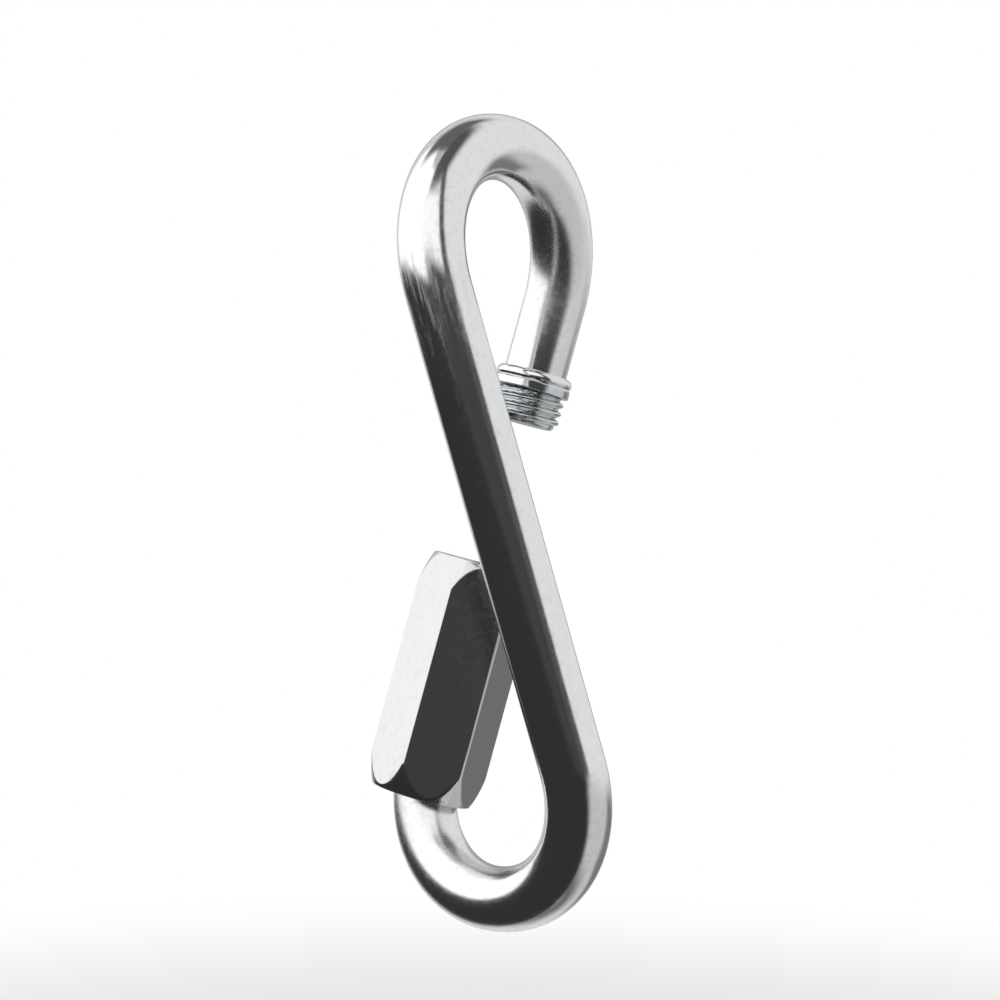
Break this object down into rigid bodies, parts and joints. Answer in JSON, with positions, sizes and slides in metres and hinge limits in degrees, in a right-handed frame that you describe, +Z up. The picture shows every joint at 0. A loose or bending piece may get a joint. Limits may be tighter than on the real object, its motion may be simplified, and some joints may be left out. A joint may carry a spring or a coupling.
{
  "type": "screw-lock quick link",
  "caption": "Steel quick link: a round bar bent into two bows set a quarter turn apart, with a long hexagonal sleeve nut that screws across its mouth.",
  "frame": {"origin": "inside of the upper bow's crown, where the load bears", "axes": "+Z up along the pull axis; the upper bow lies in the XZ plane and the lower bow in the YZ plane; the screw leg joins the upper bow's +X side to the lower bow's +Y side"},
  "size_m": [0.0342, 0.035, 0.0878],
  "materials": {
    "zinc_plated_bar": "bright zinc plate on steel, polished",
    "zinc_plated_nut": "bright zinc plate on steel, polished"
  },
  "bodies": {
    "bar": {"link_bar": "zinc_plated_bar"},
    "nut_carriage": {"nut_lower_lip": "zinc_plated_nut"},
    "nut": {"sleeve_nut": "zinc_plated_nut"}
  },
  "joints": [
    {"name": "nut_travel", "type": "slide", "parent": "bar", "child": "nut_carriage", "axis": [0.1984, -0.1662, 0.9659], "range_m": [0, 0.02]},
    {"name": "nut_turn", "type": "hinge", "parent": "nut_carriage", "child": "nut", "pos_m": [0.00464, 0.01001, -0.0547], "axis": [0.1984, -0.1662, 0.9659], "range_deg": [0, 7200.19]}
  ],
  "couplings": [
    {"joint": "nut_turn", "follows": "nut_travel", "rad_per_m": 6283.2}
  ]
}
